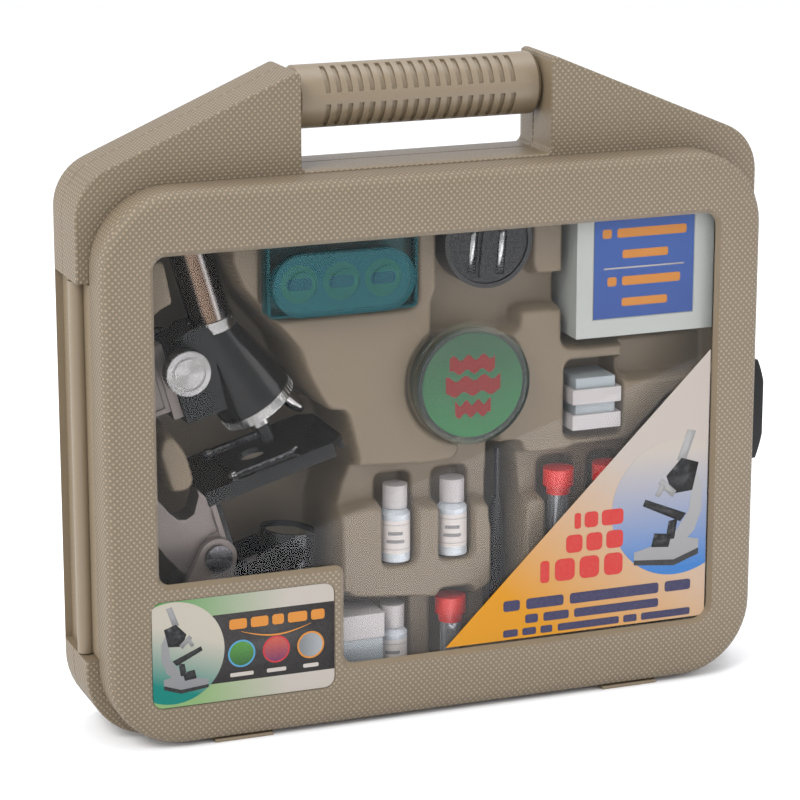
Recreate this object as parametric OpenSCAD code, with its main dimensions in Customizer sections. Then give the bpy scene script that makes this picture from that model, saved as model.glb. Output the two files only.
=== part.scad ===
/* [Case] */
// Width of the rear shell
case_w = 356; // [340:1:380]
// Depth of the closed case, front to back
case_d = 70; // [66:1:80]
// Height of the handle shoulders above the ground
case_h = 326; // [320:1:340]
// Height of the case between the shoulders
body_top = 277; // [270:1:280]
// Depth of the lid in front of the rear shell
lid_d = 22; // [20:1:26]
// Wall thickness of both shells
wall = 2.6; // [2:0.1:3.2]
// Gap between the lid's rim and the rear shell
rim_gap = 0.6; // [0.4:0.1:1]

/* [Handle] */
// Radius of the grip
grip_r = 15.5; // [13:0.5:16]
// Width of the hand opening between the shoulders
grip_gap = 130; // [120:1:140]
// Height of the grip's axis above the ground
grip_z = 309; // [306:1:310]
// Number of grooves along the grip
grooves = 18; // [10:1:20]

/* [Window] */
// Width of the window in the lid
win_w = 292; // [270:1:300]
// Height of the window's top edge above the ground
win_top = 245; // [235:1:248]
// Height of the window's bottom edge above the ground
win_bottom = 33; // [30:1:45]

/* [Tray] */
// How far the tray's top face stands in front of the middle of the case
tray_front = 20; // [18:1:22]
// Thickness of the tray's sheet
sheet = 1.5; // [1:0.1:2]

/* [Microscope] */
// Lean of the microscope's tube inside the case, in degrees
lean = 16; // [15:0.5:17]
// Diameter of the tube
tube_dia = 21; // [19:0.5:22]
// Width of the stage
stage_w = 55; // [50:1:56]
// Tilt of the nosepiece from the tube's axis, in degrees
nose_tilt = 17.5; // [17:0.5:18]
// Tilt of the illuminator drum from the tube's axis, in degrees
drum_tilt = 22; // [20:1:24]

/* [Contents] */
// Outer diameter of the petri dish
petri_dia = 60; // [58:1:60]
// Diameter of the slicer's disc
slicer_dia = 46; // [44:1:46]

/* [Hidden] */
$fn = 48;

front = -case_d / 2;          // front face of the lid
back = case_d / 2;            // back face of the rear shell
split = front + lid_d;        // front face of the rear shell
ground = 1.8;                 // underside of the shells, above the feet
half = case_w / 2;            // half width of the rear shell
lid_half = half - 6;          // half width of the lid
slope = 23;                   // slope of the shoulders, in degrees
corner_low = 34;
corner_high = 26;
lid_corner = 38;
taupe = [0.52, 0.47, 0.38];
tray_color = [0.5, 0.45, 0.37];

// hinge: a vertical pin at mid depth on the left side
hinge_x = -half + 3.5;
hinge_z0 = 44;
hinge_z1 = 230;
barrel_r = 4;
hinge_pin_r = 1.5;
fit = 0.06;                   // running clearance on a radius
notch_x = hinge_x + 7;        // inner wall of the recess for the barrel
lug = 7;                      // height of the lugs that hold a pin
strip_x = hinge_x + 0.6;      // side face of the rear shell behind the barrel

// latch: a curved clip on the right side
latch_x = half - 3;
latch_y = 6;
latch_z = 139;
latch_h = 52;
latch_boss_r = 3.6;
latch_well = latch_x - 4.4;   // inner wall of the latch's recess

// places of the parts in the lid
pane_t = 1.4;
pane_y = front + wall;
label_x0 = -151.5;
label_x1 = -57.5;
label_z0 = 22;
label_z1 = 76.8;
step_x = -52;
step_z = 84.6;

// contents: positions of their axes in the tray
petri_x = 17.3;
petri_z = 167.6;
slicer_x = 26.8;
slicer_z = 237.9;
rest_y = -12;                 // depth of the axes of bottles and vials
bottle_r = 7.6;
bottle_len = 39;
bottle_x = [-17.3, 13.2];
bottle_c = [-18.9, 15];       // third bottle: x and underside
vial_r = 5.3;
vial_len = 41;
vial_x = [71.4, 98.6];
vial_c = [12.7, 13.4];        // third vial: x and underside
bottle_low = 77.2;
vial_low = 74.2;

// where the tube's axis meets the top of the stage
scope_x = -47;
scope_z = 154.5;
mid_y = 1;

module in_scope() {
    translate([0, mid_y, 0]) rotate([0, -lean, 0]) translate([scope_x, 0, scope_z]) children();
}
// a 2D drawing (x, z) turned into a plate that spans y0 to y1
module plate(y0, y1) {
    translate([0, y1, 0]) rotate([90, 0, 0]) linear_extrude(y1 - y0) children();
}
module box(x0, x1, y0, y1, z0, z1) {
    translate([x0, y0, z0]) cube([x1 - x0, y1 - y0, z1 - z0]);
}
// a round bar along y
module bar_y(r, y0, y1, x = 0, z = 0) {
    translate([x, y1, z]) rotate([90, 0, 0]) cylinder(r = r, h = y1 - y0);
}
module rounded_rect(x0, x1, z0, z1, r) {
    translate([x0 + r, z0]) square([x1 - x0 - 2 * r, z1 - z0]);
    translate([x0, z0 + r]) square([x1 - x0, z1 - z0 - 2 * r]);
    for (x = [x0 + r, x1 - r], z = [z0 + r, z1 - r]) translate([x, z]) circle(r);
}

// ---------- case ----------
// one half of the rear shell's outline, grown inward by inset
module shoulder_outline(inset = 0) {
    w = half - inset;
    top = case_h - inset / cos(slope);
    inner = grip_gap / 2 + inset;
    r0 = corner_low - inset;
    r1 = corner_high - inset;
    low = ground + inset;
    // height of the slope's line above the corner circle's centre
    edge = top - (w - r1 - grip_gap / 2) * tan(slope);
    cz = edge - r1 / cos(slope);
    difference() {
        union() {
            polygon([[inner - 40, low], [w - r0, low], [w, low + r0], [w, cz],
                [w - r1 + r1 * sin(slope), cz + r1 * cos(slope)], [inner, top - inset * tan(slope)],
                [inner - 40, top - inset * tan(slope)]]);
            translate([w - r0, low + r0]) circle(r0);
            translate([w - r1, cz]) circle(r1);
        }
        translate([inner - 80, body_top - inset]) square([80, 80]);
    }
}
module back_outline(inset = 0) {
    shoulder_outline(inset);
    mirror([1, 0]) shoulder_outline(inset);
    translate([-grip_gap / 2, ground + inset]) square([grip_gap, body_top - ground - 2 * inset]);
}
// the space that the lid's barrel and flange turn in
module hinge_space(grow = 0) {
    box(-half - 1, notch_x + grow, split - 1, 5.5 + grow, hinge_z0 - 0.8 - grow, hinge_z1 + 0.8 + grow);
    box(-half - 1, strip_x + grow, 5, back - 8 + grow, hinge_z0 - 0.8 - grow, hinge_z1 + 0.8 + grow);
}
module latch_space(grow = 0) {
    box(latch_well - grow, half + 1, split - 1, 14 + grow,
        latch_z - latch_h / 2 - 0.6 - grow, latch_z + latch_h / 2 + 0.6 + grow);
}
module case_back() {
    color(taupe) {
        difference() {
            plate(split, back) back_outline();
            difference() {
                plate(split + wall, back - wall) back_outline(wall);
                hinge_space(wall);
                latch_space(wall);
                // solid lugs round the ends of both pins
                box(-half, notch_x + 1, -8, 8, hinge_z0 - 1 - lug, hinge_z0);
                box(-half, notch_x + 1, -8, 8, hinge_z1, hinge_z1 + 1 + lug);
                for (s = [-1, 1]) box(latch_well - 2, half, -2, 14,
                    latch_z + s * (latch_h / 2 + 3) - 3, latch_z + s * (latch_h / 2 + 3) + 3);
                // solid sockets for the ends of the handle tube
                for (s = [-1, 1]) translate([s * (grip_gap / 2 + 5), 11, grip_z]) rotate([0, 90, 0])
                    cylinder(r = 8, h = 10, center = true);
            }
            // mouth that the tray drops into
            plate(split - 1, split + wall + 1) rounded_rect(-163, 165, 8, 269, 30);
            hinge_space();
            latch_space();
            translate([hinge_x, 0, hinge_z0 - lug])
                cylinder(r = hinge_pin_r, h = hinge_z1 - hinge_z0 + 2 * lug);
            translate([latch_x, latch_y, latch_z - latch_h / 2 - 4])
                cylinder(r = hinge_pin_r, h = latch_h + 8);
            translate([0, 11, grip_z]) rotate([0, 90, 0]) cylinder(r = 4, h = grip_gap + 16, center = true);
        }
    }
}
module hinge_pin() {
    color("silver") translate([hinge_x, 0, hinge_z0 - lug])
        cylinder(r = hinge_pin_r, h = hinge_z1 - hinge_z0 + 2 * lug);
}
module latch_pin() {
    color("silver") translate([latch_x, latch_y, latch_z - latch_h / 2 - 4])
        cylinder(r = hinge_pin_r, h = latch_h + 8);
}
module handle_tube() {
    color("silver") translate([0, 11, grip_z]) rotate([0, 90, 0])
        cylinder(r = 4, h = grip_gap + 16, center = true);
}
groove_w = 2.4;
groove_depth = 1.4;
band_starts = [20, 103, 195, 278]; // four bands of grooves round the grip
band_angle = 62;
module grip() {
    len = grip_gap - 1.6;
    pitch = (len - 32) / (grooves - 1);
    color(taupe) translate([0, 11, grip_z]) rotate([0, 90, 0]) difference() {
        union() {
            cylinder(r = grip_r, h = len - 5, center = true);
            for (s = [-1, 1]) translate([0, 0, s * (len - 2.5) / 2])
                cylinder(r1 = grip_r - (s < 0 ? 2.5 : 0), r2 = grip_r - (s > 0 ? 2.5 : 0), h = 2.5,
                    center = true);
        }
        cylinder(r = 4 + fit, h = len + 1, center = true);
        for (i = [0 : grooves - 1], a = band_starts)
            translate([0, 0, (i - (grooves - 1) / 2) * pitch - groove_w / 2]) rotate([0, 0, a])
                rotate_extrude(angle = band_angle) translate([grip_r - groove_depth, 0])
                    square([3, groove_w]);
    }
}
module lid_outline(inset = 0) {
    rounded_rect(-lid_half + inset, lid_half - inset, ground + inset, body_top - 1 - inset,
        lid_corner - inset);
}
module window_outline() {
    r = 5;
    difference() {
        rounded_rect(-win_w / 2, win_w / 2, win_bottom, win_top, r);
        difference() {
            translate([-win_w / 2 - 1, win_bottom - 1])
                square([step_x + win_w / 2 + 1, step_z - win_bottom + 1]);
            difference() {
                translate([step_x - r, step_z - r]) square(r + 1);
                translate([step_x - r, step_z - r]) circle(r);
            }
        }
        translate([-win_w / 2 - 1, step_z - 1]) difference() {
            square(r + 2);
            translate([r + 1, r + 1]) circle(r);
            translate([r + 1, 0]) square(r + 2);
        }
    }
}
module lid_frame() {
    flange_x = -lid_half;
    color(taupe) difference() {
        union() {
            difference() {
                plate(front, split - rim_gap) lid_outline();
                plate(front + wall, split) lid_outline(wall);
            }
            // flange and barrel of the hinge
            box(flange_x, flange_x + wall, split - 2, 1, hinge_z0, hinge_z1);
            translate([hinge_x, 0, hinge_z0]) cylinder(r = barrel_r, h = hinge_z1 - hinge_z0);
            // catch that the latch snaps behind
            box(lid_half - 1, lid_half + 1, front + 13, front + 15, latch_z - 18, latch_z + 18);
        }
        plate(front - 1, front + wall + 1) window_outline();
        plate(front - 1, front + 0.8) rounded_rect(label_x0, label_x1, label_z0, label_z1, 6);
        translate([hinge_x, 0, hinge_z0 - 1]) cylinder(r = hinge_pin_r + fit, h = hinge_z1 - hinge_z0 + 2);
    }
}
module window_pane() {
    color([0.85, 0.9, 0.92, 0.3]) plate(pane_y, pane_y + pane_t) difference() {
        rounded_rect(-win_w / 2 - 6, win_w / 2 + 6, win_bottom - 6, win_top + 6, 9);
        translate([-win_w / 2 - 7, win_bottom - 7])
            square([step_x + win_w / 2 + 1, step_z - win_bottom + 1]);
    }
}
module lid_label() {
    color("seagreen") plate(front + 0.35, front + 0.8)
        rounded_rect(label_x0 + 0.4, label_x1 - 0.4, label_z0 + 0.4, label_z1 - 0.4, 5.6);
}
module window_print() {
    color("gold") plate(pane_y - 0.3, pane_y) polygon([[145.3, 175], [2, 34], [145.3, 34]]);
}
module lid_feet() {
    color(taupe) for (s = [-1, 1]) box(s * 104 - 15, s * 104 + 15, front + 3, split - 4, 0, ground);
}
module back_feet() {
    color(taupe) for (s = [-1, 1]) box(s * 104 - 15, s * 104 + 15, split + 6, back - 6, 0, ground);
}
module latch() {
    bulge_r = 60;
    color([0.08, 0.08, 0.08]) difference() {
        intersection() {
            translate([0, 0, latch_z - latch_h / 2]) linear_extrude(latch_h) union() {
                translate([latch_x, latch_y]) circle(latch_boss_r);
                polygon([[latch_x - 0.4, latch_y - 3.4], [latch_x - 0.4, -24], [latch_x - 1.9, -24],
                    [latch_x - 1.9, -26.4], [latch_x + 5.4, -24], [latch_x + 7, -15], [latch_x + 7, -4],
                    [latch_x + 3.4, latch_y + 0.8]]);
            }
            bar_y(bulge_r, -40, 20, latch_x + 7 - bulge_r, latch_z);
        }
        translate([latch_x, latch_y, latch_z - latch_h]) cylinder(r = hinge_pin_r + fit, h = 2 * latch_h);
    }
}

// ---------- tray ----------
module tray_outline(inset = 0) {
    rounded_rect(-162.5 + inset, 163 - inset, 10 + inset, 267 - inset, 28);
}
// pocket for the microscope, as deep as the case
module scope_pocket() {
    offset(3) offset(-3) difference() {
        polygon([[-156, 262], [-150, 290], [-104, 290], [-104, 236], [-98.5, 223], [-76, 197.5], [-70, 190],
            [-66, 178], [-60, 166], [-55, 158], [-46, 157], [-40, 132], [-45, 120], [-49, 104],
            [-49, 66], [-54, 58], [-54, 22], [-156, 22], [-156, 108], [-161, 122], [-161, 172],
            [-156, 184]]);
        // tray left standing beside the tube and inside the arm's curve
        polygon([[-170, 242], [-136, 242], [-131, 217.5], [-137, 216.3], [-142.5, 212], [-146, 206],
            [-146.5, 198], [-170, 198]]);
        polygon([[-140, 155], [-133, 155], [-126, 145], [-122, 130], [-126, 125], [-136, 125],
            [-142.5, 146]]);
    }
}
module tool_pocket() {
    offset(2) offset(-2) polygon([[35, 133], [47, 133], [50, 102], [48, 90], [49, 30], [34, 30], [34, 102]]);
}
module box_pocket() {
    rounded_rect(72, 102, 133, 172, 3);
    rounded_rect(70, 152, 180, 263, 4);
}
module vial_pocket() {
    for (x = vial_x) rounded_rect(x - 9, x + 9, 66, 120, 3);
    rounded_rect(vial_c[0] - 9, vial_c[0] + 9, 12, 60, 3);
}
module bottle_pocket() {
    for (x = bottle_x) rounded_rect(x - 8.5, x + 8.5, 76.4, 120, 2);
    rounded_rect(-52, -9, 14, 58, 3);
}
// steps between the slicer, the petri dish and the slide box
module disc_pocket() {
    offset(3) offset(-3) polygon([[2.5, 263], [2.5, 213], [0, 211], [0, 190], [45, 190], [46, 201], [80, 200],
        [80, 218], [54, 218], [52, 223], [52, 263]]);
}
module round_pocket() {
    rounded_rect(-89, -8.5, 207, 250, 4);
    translate([petri_x, petri_z]) circle(petri_dia / 2 + 1.2);
}
// stepped ledges between the larger pockets
module ledge_pocket() {
    offset(3) offset(-3) difference() {
        polygon([[-46, 129], [-2, 126], [11, 127], [15, 131], [14, 140], [34, 140], [36, 129], [48, 129],
            [50, 126], [74, 126], [76, 128], [107, 128], [130, 150], [150, 150], [150, 24], [-48, 14],
            [-48, 104]]);
        polygon([[-47, 105], [-35, 108], [18, 103], [29, 104], [32, 101], [31, 95], [33, 91], [33, 60],
            [20, 54], [-43, 61], [-47, 66]]);
        polygon([[50, 102], [59, 103], [63, 100], [63, 60], [50, 60]]);
    }
    rounded_rect(103, 153, 160, 182, 3);
}
shallow_y = -15;
ledge_y = -8;
mid_depth_y = 3;
deep_y = 30;
module deep_pockets() {
    scope_pocket();
    tool_pocket();
}
module mid_pockets() {
    box_pocket();
    vial_pocket();
    bottle_pocket();
}
module ledge_pockets() {
    ledge_pocket();
    disc_pocket();
}
module insert_tray() {
    tray_y = -tray_front;
    color(tray_color) difference() {
        plate(tray_y, deep_y + sheet) tray_outline();
        plate(tray_y - 1, shallow_y) round_pocket();
        plate(tray_y - 1, ledge_y) ledge_pockets();
        plate(tray_y - 1, mid_depth_y) mid_pockets();
        plate(tray_y - 1, deep_y) deep_pockets();
        // hollow behind the sheet, open at the back
        plate(tray_y + sheet, shallow_y + sheet) difference() {
            tray_outline(sheet);
            offset(sheet) union() { round_pocket(); ledge_pockets(); mid_pockets(); deep_pockets(); }
        }
        plate(shallow_y + sheet, ledge_y + sheet) difference() {
            tray_outline(sheet);
            offset(sheet) union() { ledge_pockets(); mid_pockets(); deep_pockets(); }
        }
        plate(ledge_y + sheet, mid_depth_y + sheet) difference() {
            tray_outline(sheet);
            offset(sheet) union() { mid_pockets(); deep_pockets(); }
        }
        plate(mid_depth_y + sheet, deep_y + sheet + 1) difference() {
            tray_outline(sheet);
            offset(sheet) deep_pockets();
        }
    }
}

// ---------- microscope, drawn with its tube upright and the stage's top at z = 0 ----------
bolt_x = -34.1;
bolt_z = -40.3;
base_lean = 26;               // turn of the folded base from the tube's axis
ball_r = 9;
arm_half = 7;
cheek_in = 7.6;
cheek_out = 11.5;
rail_x = -28.7;
arm_face = -26.3;              // face of the arm that carries the stage
knob_x = -24.2;
knob_z = 59.2;
knob_r = 10.9;
nose_x = 10.1;
nose_z = 24.5;
nose_r = 19.5;
nose_ring = nose_x / cos(nose_tilt) + 7 * tan(nose_tilt); // circle of the objectives
drum_x = 3.1;
drum_z = -52.1;
drum_r = 14;
clip_x = -16.5;
clip_y = 20.5;
ring_z = 67.5;
tube_top = 125.5;
black = [0.07, 0.07, 0.07];
cast = [0.62, 0.6, 0.62];

module in_base() {
    in_scope() translate([bolt_x, 0, bolt_z]) rotate([0, base_lean, 0]) children();
}
module scope_base() {
    color(cast) in_base() difference() {
        union() {
            for (y = [-cheek_out, cheek_in]) plate(y, y + cheek_out - cheek_in)
                union() {
                    circle(ball_r + 0.7);
                    polygon([[-8.6, 4.6], [8.6, 4.6], [9.6, -2], [9, -23], [-17, -23]]);
                }
            translate([0, 0, -32]) linear_extrude(10) base_outline();
        }
        bar_y(3, -20, 20);
    }
}
module base_outline() {
    difference() {
        union() {
            translate([0, -28]) square([46, 56]);
            translate([-20, -28]) square([40, 56]);
            translate([-34, -14]) square([20, 28]);
            for (s = [-1, 1]) {
                translate([-20, s * 14]) circle(14);
                translate([46, s * 20]) circle(8);
                translate([46, s * 20 - 6]) square([14, 12]);
            }
        }
        translate([22, -12]) square([60, 24]);
        translate([22, 0]) circle(12);
    }
}
module base_pad() {
    color([0.05, 0.05, 0.05]) in_base() translate([0, 0, -36]) linear_extrude(4) base_outline();
}
module inclination_bolt() {
    color("dimgray") in_base() difference() {
        union() {
            bar_y(3, -cheek_out, cheek_out);
            bar_y(6.9, -cheek_out - 2.4, -cheek_out);
            bar_y(6.5, cheek_out, cheek_out + 3);
        }
        bar_y(1, -20, -cheek_out - 1.2);
        for (s = [-1, 1]) bar_y(0.8, -20, -cheek_out - 1.2, s * 4.4, 0);
    }
}
module arm_outline() {
    polygon([[rail_x - 4.8, 70], [-40, 68.5], [-48, 64], [-55, 57], [-60, 48], [-65, 37], [-68, 25],
        [-68.3, 15], [-67, 5], [-65, -7], [-62, -18], [-57.9, -30.8], [-53, -41], [-49, -45.6],
        [-42, -48.3], [-34.1, -49.3],
        [-28, -46.6], [-26.3, -44], [-26.3, -3], [-33, -3], [-33, -8], [-38, -16], [-42.5, -17.2],
        [-46.5, -15.7], [-50, -10], [-54, 0], [-55, 15], [-54.5, 23], [-52, 30], [-48.5, 35], [-44, 38],
        [rail_x - 4.8, 38]]);
}
module scope_arm() {
    color(cast) in_scope() difference() {
        union() {
            plate(-arm_half, arm_half) arm_outline();
            translate([bolt_x, 0, bolt_z]) bar_y(ball_r, -arm_half, arm_half);
            box(rail_x - 4.8, rail_x, -8, 8, 33.5, 72);
        }
        // flat that the stage's bracket bears on
        box(arm_face, arm_face + 9, -10, 10, -58, -3);
        // panels sunk between raised rims on both sides
        for (s = [-1, 1]) plate(s * (arm_half + 1) - 1.8, s * (arm_half + 1) + 1.8)
            offset(1) offset(-3.4) arm_outline();
        for (s = [-1, 1]) translate([-31.2, s * arm_half, -23.7]) cube([4.4, 3.6, 12], center = true);
        // grooves that guide the head, and the bed of the rack
        for (s = [-1, 1]) box(rail_x - 2.3, rail_x + 1, s * 5.2 - 1.3, s * 5.2 + 1.3, 30, 80);
        box(rail_x - 1.6, rail_x + 1, -3, 3, 34.5, 80);
        translate([bolt_x, 0, bolt_z]) bar_y(3, -20, 20);
    }
}
module focus_rack() {
    pitch = 2.356;
    color("silver") in_scope() difference() {
        box(rail_x - 1.6, rail_x, -3, 3, 34.5, 71.5);
        for (i = [0 : 14]) plate(-4, 4) translate([rail_x, 36.3 + i * pitch])
            polygon([[-0.9, -0.3], [-0.9, 0.3], [1, 1], [1, -1]]);
    }
}
module stage() {
    h = stage_w / 2;
    color([0.75, 0.75, 0.76]) in_scope() difference() {
        union() {
            translate([0, 0, -3]) linear_extrude(3) polygon([[-34, -h], [34, -h], [41, 7 - h], [41, h - 7],
                [34, h], [-34, h]]);
            for (s = [-1, 1]) box(-34, 34, s * (h - 1) - 1, s * (h - 1) + 1, -7.5, -2.9);
            box(39, 41, 7 - h, h - 7, -7.5, -2.9);
        }
        translate([0, 0, -4]) cylinder(r = 7, h = 5);
        for (s = [-1, 1]) translate([clip_x, s * clip_y, -4]) cylinder(r = 1, h = 5);
    }
}
module clip_studs() {
    color("silver") in_scope() for (s = [-1, 1]) translate([clip_x, s * clip_y, 0]) {
        translate([0, 0, -3]) cylinder(r = 1, h = 4.6);
        translate([0, 0, 1.6]) cylinder(r = 1.7, h = 1);
    }
}
module clip(s) {
    color("silver") in_scope() translate([clip_x, s * clip_y, 0]) difference() {
        union() {
            translate([0, 0, 0.1]) cylinder(r = 2.3, h = 1.3);
            plate(-0.7, 0.7) polygon([[0, 0.3], [28, 0.1], [31.4, 0.4], [34.6, 2], [34, 2.8], [30.6, 1.3],
                [0, 1.2]]);
        }
        translate([0, 0, -1]) cylinder(r = 1 + fit, h = 5);
    }
}
module clip_near() {
    clip(-1);
}
module clip_far() {
    clip(1);
}
module stage_bracket() {
    color(black) in_scope() box(arm_face, arm_face + 2.5, -arm_half, arm_half, -57, -3);
}
module illuminator_fork() {
    color(black) in_scope() difference() {
        union() {
            box(-23.8, -20.8, -17, 17, -57, -48);
            for (s = [-1, 1]) box(-23.8, drum_x, s * 16 - 1, s * 16 + 1, -57, -47.2);
            for (s = [-1, 1]) bar_y(4.9, s * 16 - 1, s * 16 + 1, drum_x, drum_z);
        }
        bar_y(1.5 + fit, -20, 20, drum_x, drum_z);
    }
}
module in_drum() {
    in_scope() translate([drum_x, 0, drum_z]) rotate([0, drum_tilt, 0]) children();
}
module illuminator_drum() {
    color(black) in_drum() {
        difference() {
            translate([0, 0, -9]) cylinder(r = drum_r, h = 18);
            translate([0, 0, 6.5]) cylinder(r = 12.2, h = 3);
            translate([0, 0, -10]) cylinder(r = 10, h = 5);
        }
        for (s = [-1, 1]) bar_y(1.5, s * 15.4 - 1.8, s * 15.4 + 1.8);
    }
}
module illuminator_mirror() {
    color("white") in_drum() translate([0, 0, 6.5]) cylinder(r = 12, h = 1.2);
}
module illuminator_lamp() {
    color("lightyellow") in_drum() translate([0, 0, -8.6]) cylinder(r = 9.8, h = 3.6);
}
module in_nose() {
    in_scope() translate([nose_x, 0, nose_z]) rotate([0, -nose_tilt, 0]) children();
}
module scope_head() {
    color(black) difference() {
        union() {
            hull() {
                in_nose() translate([0, 0, 2.9]) cylinder(r = 19.8, h = 4);
                in_scope() translate([0, 0, ring_z - 0.5]) cylinder(r = 11.4, h = 1);
            }
            in_scope() plate(-11, 11) polygon([[-28.3, 30], [-28.3, 68.5], [-23.5, 71.2], [-14.3, 74.3],
                [-9, 74.3], [0, 66], [0, 34], [-6, 30]]);
            in_scope() for (s = [-1, 1]) box(-30.8, -28, s * 5.2 - 1, s * 5.2 + 1, 36, 68.5);
        }
        in_scope() {
            translate([0, 0, ring_z]) cylinder(r = 11.6, h = 12);
            cylinder(r = 6, h = 80);
            // room for the pinion and its shaft
            box(-29, knob_x + 4.8, -3.2, 3.2, knob_z - 4.8, knob_z + 4.8);
            bar_y(2.5 + fit, -12, 12, knob_x, knob_z);
        }
        in_nose() cylinder(r = 2, h = 9);
    }
}
module tube_ring() {
    color("silver") in_scope() translate([0, 0, ring_z]) difference() {
        cylinder(r = tube_dia / 2 + 0.8, h = 6);
        translate([0, 0, -1]) cylinder(r = tube_dia / 2, h = 8);
    }
}
module scope_tube() {
    color("silver") in_scope() translate([0, 0, ring_z]) difference() {
        cylinder(r = tube_dia / 2, h = tube_top - ring_z);
        translate([0, 0, -1]) cylinder(r = tube_dia / 2 - 1.5, h = 80);
    }
}
module eyepiece() {
    color(black) in_scope() difference() {
        union() {
            translate([0, 0, tube_top - 22]) cylinder(r = tube_dia / 2 - 1.5 - fit, h = 22.3);
            translate([0, 0, tube_top + 0.3]) cylinder(r = tube_dia / 2 + 0.3, h = 3.5);
        }
        translate([0, 0, tube_top - 23]) cylinder(r = 7.4, h = 20);
        cylinder(r = 5, h = 140);
        translate([0, 0, tube_top + 2.2]) cylinder(r = 7, h = 4);
    }
}
module eyepiece_lens() {
    color("lightblue") in_scope() translate([0, 0, tube_top - 4.4]) cylinder(r = 7.4, h = 1.4);
}
module focus_shaft() {
    color("silver") in_scope() translate([knob_x, 0, knob_z]) {
        bar_y(2.5, -19, 19);
        plate(-2.8, 2.8) {
            circle(3.3);
            for (i = [0 : 11]) rotate(i * 30) translate([2, -0.55]) square([2.2, 1.1]);
        }
    }
}
module focus_knobs() {
    color("silver") in_scope() translate([knob_x, 0, knob_z]) for (s = [-1, 1]) difference() {
        union() {
            bar_y(knob_r, s * 23 - 4, s * 23 + 4);
            bar_y(6, s * 15.3 - 3.8, s * 15.3 + 3.8);
            for (i = [0 : 35]) rotate([0, i * 10, 0])
                box(knob_r - 0.3, knob_r + 0.35, s * 23 - 3, s * 23 + 3, -0.5, 0.5);
        }
        bar_y(2.5, s * 15 - 4, s * 15 + 4);
        // turned groove in the face
        difference() {
            bar_y(8.3, s * 27 - 0.5, s * 27 + 0.5);
            bar_y(7.3, s * 27 - 1, s * 27 + 1);
        }
    }
}
// objective seats on the nosepiece, turned by a round its axis
module on_seat(a) {
    rotate([0, 0, a]) translate([-nose_ring, 0, -7]) rotate([0, nose_tilt, 0]) children();
}
seat_angles = [180, 60, -60];
module nosepiece() {
    color("silver") in_nose() difference() {
        union() {
            translate([0, 0, -2.5]) cylinder(r = nose_r, h = 5);
            translate([0, 0, -5.5]) cylinder(r1 = 13, r2 = 17.5, h = 3.1);
            for (a = seat_angles) on_seat(a) cylinder(r = 5, h = 6);
            for (i = [0 : 47]) rotate([0, 0, i * 7.5]) box(nose_r - 0.3, nose_r + 0.35, -0.5, 0.5, -1.9, 1.9);
        }
        translate([0, 0, -9]) cylinder(r = 2 + fit, h = 15);
        for (a = seat_angles) on_seat(a) {
            translate([0, 0, -1]) cylinder(r = 3, h = 3.5);
            cylinder(r = 1.6, h = 14);
        }
    }
}
module turret_screw() {
    color("silver") in_nose() {
        translate([0, 0, -5.8]) cylinder(r = 2, h = 14);
        translate([0, 0, -7.6]) cylinder(r = 3.4, h = 1.8);
    }
}
module objective(a, l) {
    on_seat(a) difference() {
        union() {
            cylinder(r = 3, h = 2.5);
            translate([0, 0, -l * 0.45]) cylinder(r = 3.9, h = l * 0.45);
            translate([0, 0, -l * 0.78]) cylinder(r = 3.3, h = l * 0.78);
            translate([0, 0, -l]) cylinder(r1 = 2, r2 = 3.3, h = l * 0.22);
        }
        translate([0, 0, -l - 1]) cylinder(r = 1.2, h = l + 5);
    }
}
module objective_long() {
    color("silver") in_nose() objective(180, 11.8);
}
module objectives_short() {
    color(black) in_nose() {
        objective(60, 9.6);
        objective(-60, 7.4);
    }
}

// ---------- contents of the tray ----------
module petri_base() {
    color([0.8, 0.9, 0.85, 0.5]) translate([petri_x, 0, petri_z]) difference() {
        bar_y(petri_dia / 2 - 1.9, -28.3, shallow_y);
        bar_y(petri_dia / 2 - 3.1, -29, shallow_y - 1.2);
    }
}
module petri_lid() {
    color([0.8, 0.9, 0.85, 0.5]) translate([petri_x, 0, petri_z]) difference() {
        bar_y(petri_dia / 2, -30, -22);
        bar_y(petri_dia / 2 - 1.2, -28.8, -21);
    }
}
module petri_card() {
    color("green") bar_y(petri_dia / 2 - 3.5, -28.75, -28.35, petri_x, petri_z);
}
module hatchery_base() {
    color("teal") difference() {
        plate(-24, shallow_y) rounded_rect(-87, -10, 208.4, 248, 3);
        plate(-25, shallow_y - 1.2) rounded_rect(-85.6, -11.4, 209.8, 246.6, 2);
    }
}
module hatchery_lid() {
    color("teal") {
        difference() {
            plate(-29, -24) rounded_rect(-86, -13, 209, 240.2, 15.5);
            plate(-27.8, -23) rounded_rect(-84.8, -14.2, 210.2, 239, 14.3);
        }
        for (x = [-71, -49.5, -28]) bar_y(7, -30.2, -29, x, 224.6);
    }
}
module hatchery_card() {
    color("green") plate(-24.4, -24) rounded_rect(-84.2, -14.8, 210.8, 238.4, 13.7);
}
module slicer_body() {
    color("dimgray") translate([slicer_x, 0, slicer_z]) difference() {
        bar_y(slicer_dia / 2, -25.4, ledge_y);
        bar_y(slicer_dia / 2 - 2.2, -26, -20);
        bar_y(3 + fit, -21, -12);
    }
}
module slicer_dial() {
    color(black) translate([slicer_x, 0, slicer_z]) rotate([0, 5, 0]) {
        difference() {
            bar_y(slicer_dia / 2 - 2.5, -24.4, -20.2);
            for (x = [-7.5, 7.5]) box(x - 2.2, x + 2.2, -25, -23.2, -16, 16);
        }
        box(-3.6, 3.6, -25.8, -24.4, -17.5, 17.5);
        bar_y(3, -20.2, -12.4);
        for (x = [-7.5, 7.5]) box(x - 1.9, x + 1.9, -24, -23.2, -15.4, 15.4);
    }
}
slide_x0 = 73.3;
slide_x1 = 148.5;
slide_z0 = 185;
slide_z1 = 261;
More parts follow.
